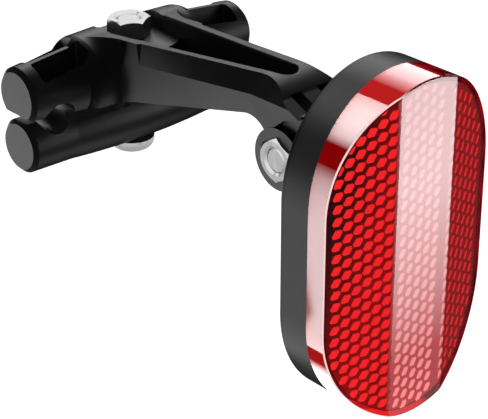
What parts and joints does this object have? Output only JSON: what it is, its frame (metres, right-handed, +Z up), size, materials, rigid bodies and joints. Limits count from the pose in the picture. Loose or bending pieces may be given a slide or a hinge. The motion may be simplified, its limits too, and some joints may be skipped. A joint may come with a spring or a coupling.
{
  "type": "bicycle reflector",
  "caption": "Red wide-angle rear reflector on a tilting black arm that clamps across a pair of saddle rails.",
  "frame": {"origin": "midway between the two saddle rails, on the axis of the clamp bolt", "axes": "+X along the clamp bars, +Z up along the clamp bolt, the reflector looks along -Y"},
  "size_m": [0.0582, 0.0936, 0.068],
  "materials": {
    "black_plastic": "satin",
    "plated_steel": "bright zinc plated",
    "red_lens": "clear gloss"
  },
  "bodies": {
    "arm": {"arm": "black_plastic", "clamp_nut": "plated_steel", "hinge_bolt": "plated_steel", "hinge_nut": "plated_steel"},
    "lower_jaw": {"lower_jaw": "black_plastic", "clamp_bolt": "plated_steel"},
    "head": {"back_cover": "black_plastic", "housing": "black_plastic", "lens": "red_lens"}
  },
  "joints": [
    {"name": "head_tilt", "type": "hinge", "parent": "arm", "child": "head", "pos_m": [0, -0.0542, 0.00345], "axis": [-1, 0, 0], "range_deg": [-40, 55]},
    {"name": "jaw_open", "type": "slide", "parent": "arm", "child": "lower_jaw", "axis": [0, 0, -1], "range_m": [0, 0.003]}
  ]
}
